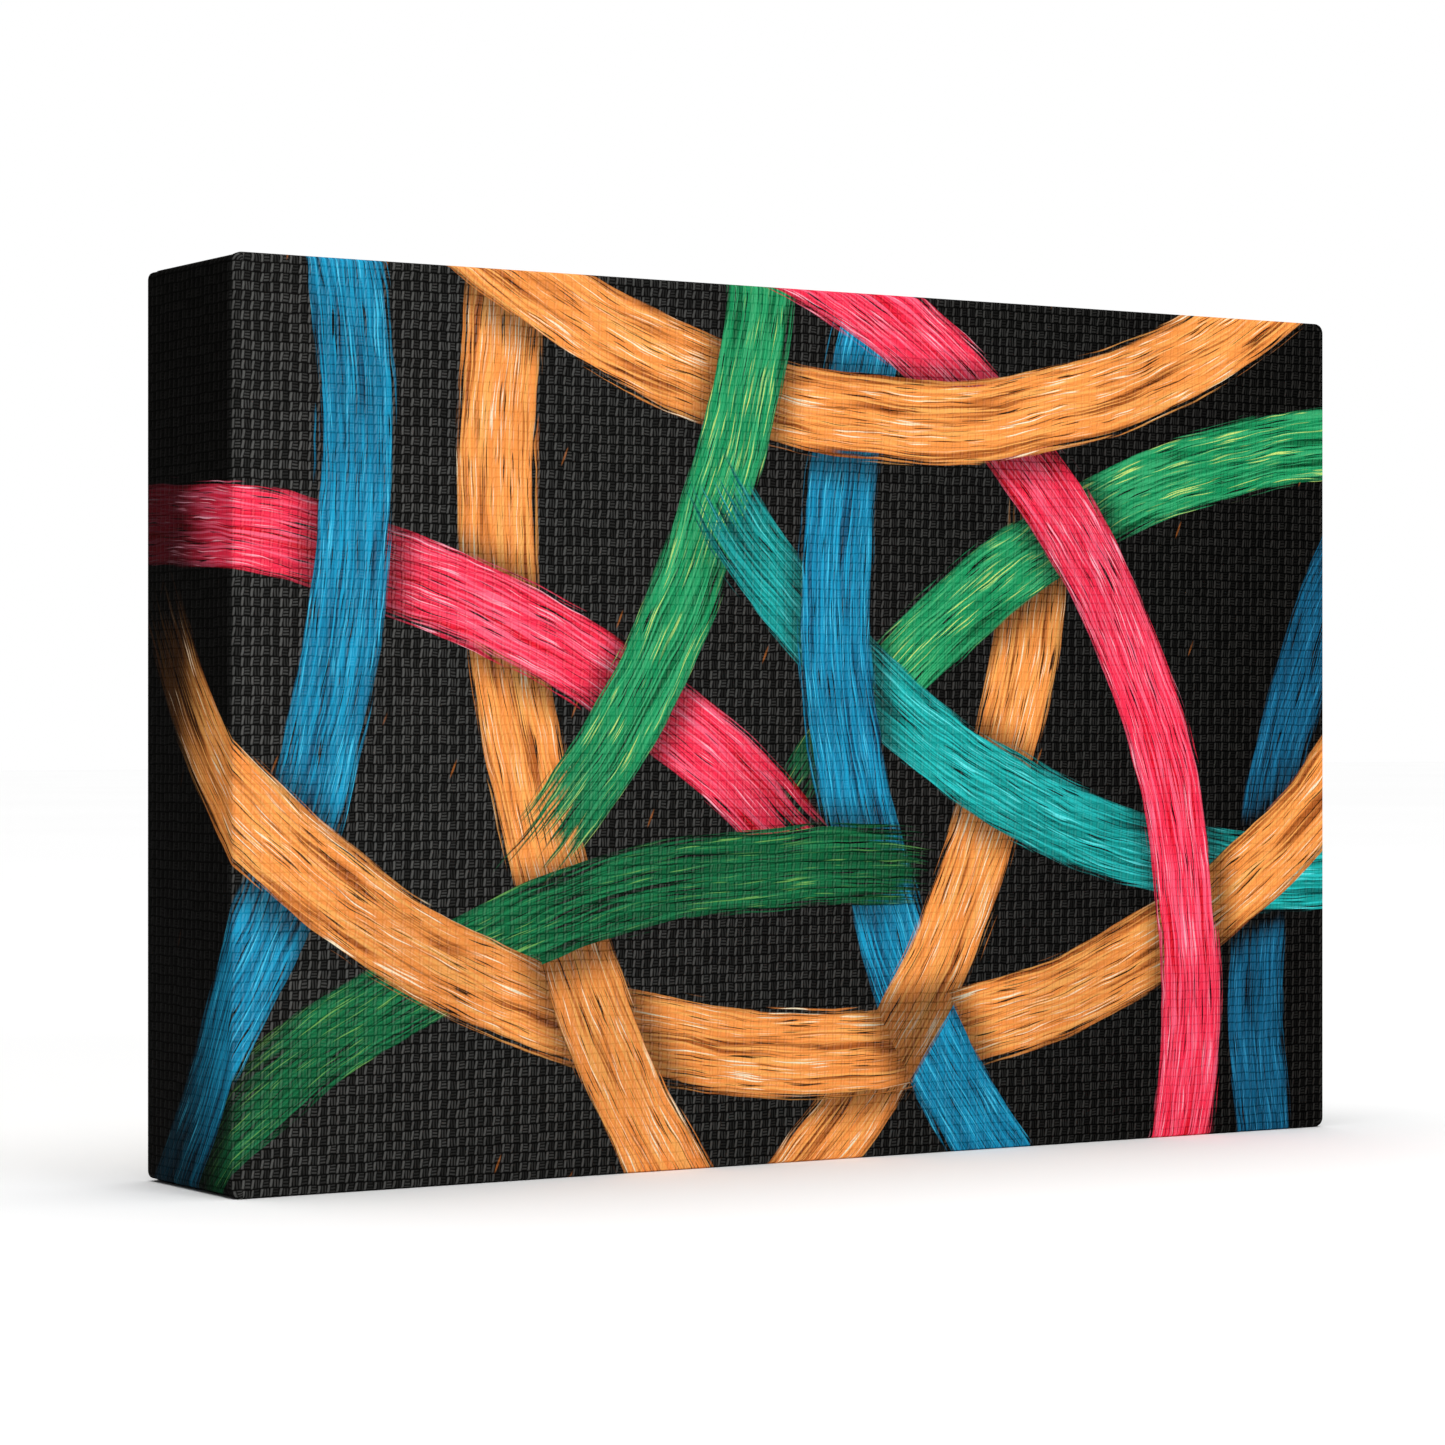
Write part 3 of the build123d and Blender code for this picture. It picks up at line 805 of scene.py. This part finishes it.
def ring(loop, wide, high, wander):
    """One loop's points. Each is (place, side, how far along that side from its middle).

    It runs up the left side, along the top, down the right side and back along the bottom.
    """
    corner = max(CORNER_RADIUS - loop.inset, 0.0)
    half_w, half_h = HALF_W - loop.inset, HALF_H - loop.inset
    straight_w, straight_h = half_w - corner, half_h - corner
    points = []

    def add(x, z, y, side, along):
        points.append((Vector((x, y, MIDDLE_Z + z)), side, along))

    def straight(side):
        """One side's points, from one rounded corner to the next."""
        upright = side in ("left", "right")
        places = high if upright else wide
        full = (HALF_H if upright else HALF_W) - CORNER_RADIUS
        half = straight_h if upright else straight_w
        sign = -1 if side in ("left", "bottom") else 1
        held = HELD_SIDE if upright else (HELD_TOP if side == "top" else HELD_BOTTOM)
        order = places if side in ("left", "top") else places[::-1]
        for place in order:
            along = place / full * half
            from_end = half - abs(along)
            y, out = loop.y, 0.0
            if not upright:
                fade = 1 - smooth(from_end, *LAP_FADE)
                y += loop.lap * fade * smooth(from_end, 0, LAP_WIDTH)
                out = -CREASE_DIP * (loop.fold / STEP) * (1 - smooth(from_end, 0, CREASE_WIDTH))
            if loop.flap:
                # The corners' diagonals stay flat, held by their own staples.
                lift = held_lift(along, held) * smooth(from_end, 0, DIAGONAL)
                y += lift * (BELLY * math.sin(math.pi * loop.flap) + CURL * loop.flap ** 5)
            edge = wander(side, along) * loop.flap ** 8 * smooth(from_end, 0, STRAIGHT_ENDS)
            reach = (half_w if upright else half_h) + out - edge
            if upright:
                add(sign * reach, along, y, side, along)
            else:
                add(along, sign * reach, y, side, along)

    def bend(side_x, side_z, rising):
        """The rounded corner. The side's cloth runs round it and under the top's or bottom's."""
        for i in range(1, CORNER_TURNS + 1):
            share = i / CORNER_TURNS if rising else 1 - (i - 1) / CORNER_TURNS
            turn = math.pi / 2 * share
            pressed = loop.fold * smooth(share, 0.35, 0.95)
            # The fold makes the corner's radius smaller, and sinks once there is none left.
            shorter = min(pressed, corner)
            radius = corner - shorter
            sunk = pressed - shorter
            x = side_x * (straight_w + radius * math.cos(turn))
            z = side_z * (straight_h + radius * math.sin(turn) - sunk)
            along = side_z * (straight_h + corner * turn)
            add(x, z, loop.y, "left" if side_x < 0 else "right", along)

    straight("left")
    bend(-1, 1, True)
    straight("top")
    bend(1, 1, False)
    straight("right")
    bend(1, -1, True)
    straight("bottom")
    bend(-1, -1, False)
    return points


def cloth_corner(side, past, along):
    """A place on the flat cloth in millimetres, from its side, distance past the face and along."""
    if side in ("left", "right"):
        sign = -1 if side == "left" else 1
        return (sign * (HALF_W + past) / MM, along / MM, 0.0)
    sign = -1 if side == "bottom" else 1
    return (along / MM, sign * (HALF_H + past) / MM, 0.0)


def cut_edge_wander(rng):
    """A function of side and place along it: how far the cut edge wanders in from its line."""

    def wave():
        """The wave's rate and start in radians, and its size in millimetres."""
        return rng.uniform(0.05, 0.5), rng.uniform(0, 6.28), rng.uniform(0.08, 0.3)

    waves = {side: [wave() for _ in range(WAVES)] for side in SIDES}

    def wander(side, along):
        place = along / MM
        return MM * sum(size * math.sin(place * rate + start) for rate, start, size in waves[side])

    return wander


class Cloth:
    """The sheet as it is built: its points, its faces, and each face's places on the flat cloth."""

    def __init__(self):
        self.vertices, self.faces, self.flat = [], [], []

    def add_face_grid(self, wide, high):
        """The flat face, up to where the corners' rounding starts. Returns its edge as a ring."""
        index = {}
        for i, x in enumerate(wide):
            for j, z in enumerate(high):
                index[i, j] = len(self.vertices)
                self.vertices.append(Vector((x, FRONT_Y, MIDDLE_Z + z)))
        for i in range(len(wide) - 1):
            for j in range(len(high) - 1):
                square = [(i, j), (i + 1, j), (i + 1, j + 1), (i, j + 1)]
                self.faces.append([index[key] for key in square])
                self.flat.append([(wide[a] / MM, high[b] / MM, 0.0) for a, b in square])
        last_i, last_j = len(wide) - 1, len(high) - 1
        sides = (
            [(0, j) for j in range(len(high))],
            [(i, last_j) for i in range(len(wide))],
            [(last_i, j) for j in reversed(range(len(high)))],
            [(i, 0) for i in reversed(range(len(wide)))],
        )
        # All the points round a corner start from the one where its two sides meet.
        return [index[key] for side in sides for key in side + side[-1:] * CORNER_TURNS]

    def add_band(self, inner, outer):
        """The faces between two loops."""
        count = len(outer.points)
        for k in range(count):
            following = (k + 1) % count
            # A face between two sides belongs to the top or bottom, whose cloth lies over.
            pair = outer.points[k][1], outer.points[following][1]
            side = next((s for s in pair if s in ("top", "bottom")), pair[0])
            square = [(inner, k), (outer, k), (outer, following), (inner, following)]
            if inner.index[k] == inner.index[following]:
                square.pop()
            self.faces.append([loop.index[at] for loop, at in square])
            corners = []
            for loop, at in square:
                place, own, along = loop.points[at]
                if own != side:
                    along = math.copysign(HALF_W - max(loop.inset, CORNER_RADIUS), place.x)
                corners.append(cloth_corner(side, loop.past, along))
            self.flat.append(corners)

    def mesh(self, name):
        """The finished mesh, facing outwards, with the flat cloth's places at its corners."""
        mesh = bpy.data.meshes.new(name)
        mesh.from_pydata(self.vertices, [], self.faces)
        attribute = mesh.attributes.new("cloth_mm", "FLOAT_VECTOR", "CORNER")
        numbers = [number for corners in self.flat for place in corners for number in place]
        attribute.data.foreach_set("vector", numbers)
        work = bmesh.new()
        work.from_mesh(mesh)
        bmesh.ops.remove_doubles(work, verts=work.verts, dist=0.002 * MM)
        bmesh.ops.recalc_face_normals(work, faces=work.faces)
        front = next(f for f in work.faces if f.calc_center_median().y < FRONT_Y + 0.01 * MM)
        if front.normal.y > 0:
            bmesh.ops.reverse_faces(work, faces=work.faces)
        work.to_mesh(mesh)
        work.free()
        mesh.shade_smooth()
        return mesh


def canvas_sheet(rng):
    """The whole cloth as one object, and the points of its cut edge on each side."""
    # Places across the width and up the height, dense beside the corners' folds
    dense = [0.0, 0.07 * MM, 0.2 * MM, 0.45 * MM, 0.9 * MM, 1.8 * MM]
    wide = spaced(HALF_W - CORNER_RADIUS, dense)
    high = spaced(HALF_H - CORNER_RADIUS, dense)
    wander = cut_edge_wander(rng)
    cloth = Cloth()
    inner = Loop(CORNER_RADIUS, FRONT_Y, -CORNER_RADIUS)
    inner.points = ring(inner, wide, high, wander)
    inner.index = cloth.add_face_grid(wide, high)
    for loop in sheet_loops():
        loop.points = ring(loop, wide, high, wander)
        loop.index = range(len(cloth.vertices), len(cloth.vertices) + len(loop.points))
        cloth.vertices += [place for place, _, _ in loop.points]
        cloth.add_band(inner, loop)
        inner = loop
    cut = {side: [place for place, own, _ in inner.points if own == side] for side in SIDES}

    mesh = cloth.mesh("canvas_sheet")
    sheet = add_object("canvas_sheet", mesh)
    for material in (print_material(), cotton_material(), thread_material()):
        mesh.materials.append(material)
    shell = sheet.modifiers.new("thickness", "SOLIDIFY")
    shell.thickness = THICK
    shell.offset = -1
    shell.material_offset = 1
    shell.material_offset_rim = 2
    return sheet, cut


# ---- frayed threads ----
THREAD_RADIUS = 0.13 * MM
THREAD_ROOT = 0.5 * MM  # how far inside the cloth a thread starts
THREAD_MARGIN = 2.5 * MM  # no threads nearer than this to the ends of a cut edge
LONG_SHARE = 0.12  # the share of threads that are long


def tube(work, points, radius):
    """Adds a thin five-sided thread along points, tapering to its free end."""
    sides = 5
    rings = []
    for i, point in enumerate(points):
        before, after = points[max(i - 1, 0)], points[min(i + 1, len(points) - 1)]
        ahead = (after - before).normalized()
        across = ahead.cross(Vector((0, 1, 0)))
        across = across.normalized() if across.length > 0.01 else Vector((1, 0, 0))
        over = ahead.cross(across)
        width = radius * (1 - 0.45 * i / (len(points) - 1))
        ring_points = []
        for k in range(sides):
            turn = 2 * math.pi * k / sides
            offset = across * math.cos(turn) + over * math.sin(turn)
            ring_points.append(work.verts.new(point + offset * width))
        rings.append(ring_points)
    for first, second in zip(rings, rings[1:]):
        for k in range(sides):
            following = (k + 1) % sides
            work.faces.new((first[k], first[following], second[following], second[k]))
    work.faces.new(rings[0][::-1])
    work.faces.new(rings[-1])


def frayed_threads(edges, rng):
    """Loose thread ends along the four cut edges, lying over on to the bars."""
    wood = BARS_HIGH.y + THREAD_RADIUS
    work = bmesh.new()
    for side, points in edges.items():
        inward = {
            "left": Vector((1, 0, 0)),
            "right": Vector((-1, 0, 0)),
            "top": Vector((0, 0, -1)),
            "bottom": Vector((0, 0, 1)),
        }[side]
        pitch = (WEFT_MM if side in ("left", "right") else WARP_MM) * MM
        along = (points[-1] - points[0]).normalized()
        travelled = THREAD_MARGIN
        while travelled < (points[-1] - points[0]).length - THREAD_MARGIN:
            # The edge's place here, half way through the cloth's thickness
            nearest = min(points, key=lambda p: abs((p - points[0]).dot(along) - travelled))
            start = nearest + along * (travelled - (nearest - points[0]).dot(along))
            start.y -= THICK / 2
            is_long = rng.random() < LONG_SHARE
            length = (rng.uniform(1.8, 5.5) if is_long else rng.uniform(0.35, 1.0)) * MM
            steps = 9 if is_long else 4
            heading = rng.gauss(0, 0.7 if is_long else 0.3)
            place = start - inward * THREAD_ROOT
            path = [place]
            for i in range(steps):
                heading += rng.gauss(0, 0.28 if is_long else 0.08)
                ahead = inward * math.cos(heading) + along * math.sin(heading)
                place = place + ahead * ((length + THREAD_ROOT) / steps)
                # It drops part of the way to the wood, within a millimetre.
                drop = min((i + 1) / steps * length / MM, 1.0)
                place.y = start.y + (wood - start.y) * drop * (0.6 if is_long else 0.35)
                path.append(place.copy())
            tube(work, path, THREAD_RADIUS * rng.uniform(0.7, 1.15))
            travelled += pitch * rng.uniform(0.85, 1.15)
    mesh = bpy.data.meshes.new("frayed_threads")
    work.to_mesh(mesh)
    work.free()
    mesh.shade_smooth()
    mesh.materials.append(bpy.data.materials["cotton_yarn"])
    return add_object("frayed_threads", mesh)


# ---- light, floor and camera ----
KEY_WATTS = 9.5
ABOVE_STRENGTH = 3.0
AMBIENT = 0.15  # what the white surroundings give, where 1 is white
KEY_LIGHT_PLACE = Vector((0.3, -1.5, 0.55))
CAMERA_PLACE = Vector((-0.40495, -0.62516, 0.07675))
CAMERA_TURN = 32.3  # degrees to the right of looking straight at the printed face
LENS_MM = 102.98


def floor():
    """A wide pale floor under the canvas."""
    mesh = bpy.data.meshes.new("floor")
    size, cells = 6.0, 24
    work = bmesh.new()
    bmesh.ops.create_grid(work, x_segments=cells, y_segments=cells, size=size)
    work.to_mesh(mesh)
    work.free()
    material, n, inputs = new_material("pale_floor")
    place = n.tree.nodes.new("ShaderNodeTexCoord").outputs["Object"]
    tone = n.noise(place, 3.0, 3.0)
    n.feed(inputs["Base Color"], n.mix(tone, (0.90, 0.90, 0.90, 1), (0.93, 0.93, 0.93, 1)))
    inputs["Roughness"].default_value = 0.9
    inputs["Specular IOR Level"].default_value = 0.06
    mesh.materials.append(material)
    add_object("floor", mesh)


def put_light(data, place, direction):
    """A light at a place, shining in a direction."""
    light = add_object(data.name, data)
    light.location = place
    light.rotation_euler = direction.to_track_quat("-Z", "Y").to_euler()


def studio():
    """A soft key light from the front, an even light from above, and white surroundings."""
    key = bpy.data.lights.new("key", "AREA")
    key.shape = "SQUARE"
    key.size = 0.7
    key.energy = KEY_WATTS
    put_light(key, KEY_LIGHT_PLACE, Vector((0, 0, MIDDLE_Z)) - KEY_LIGHT_PLACE)
    # A wide, soft light from straight above keeps the floor even out to the horizon.
    above = bpy.data.lights.new("above", "SUN")
    above.angle = math.radians(70)
    above.energy = ABOVE_STRENGTH
    put_light(above, Vector((0, 0, 3)), Vector((0, 0, -1)))
    # The camera sees plain white behind the object, which lights it less than it shows.
    world = bpy.data.worlds.new("white")
    world.use_nodes = True
    n = Nodes(world.node_tree)
    seen = n.tree.nodes.new("ShaderNodeLightPath").outputs["Is Camera Ray"]
    background = n.tree.nodes["Background"].inputs
    background["Color"].default_value = (1, 1, 1, 1)
    n.feed(background["Strength"], n.blend(seen, AMBIENT, 1.0))
    bpy.context.scene.world = world


def camera():
    """A long lens in front and to the left, level with the middle of the canvas."""
    data = bpy.data.cameras.new("camera")
    data.lens = LENS_MM
    data.sensor_width = 36
    data.shift_y = 0.002
    data.clip_start = 0.01
    view = add_object("camera", data)
    view.location = CAMERA_PLACE
    view.rotation_euler = Euler((math.radians(90), 0, math.radians(-CAMERA_TURN)))
    bpy.context.scene.camera = view


bpy.context.scene.view_settings.view_transform = "Standard"
camera()
studio()
floor()
paint_cad_nodes()
rng = random.Random(5)
sheet, cut_edges = canvas_sheet(rng)
threads = frayed_threads(cut_edges, rng)
for piece in (sheet, threads):
    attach(piece, "frame")
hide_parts("canvas")
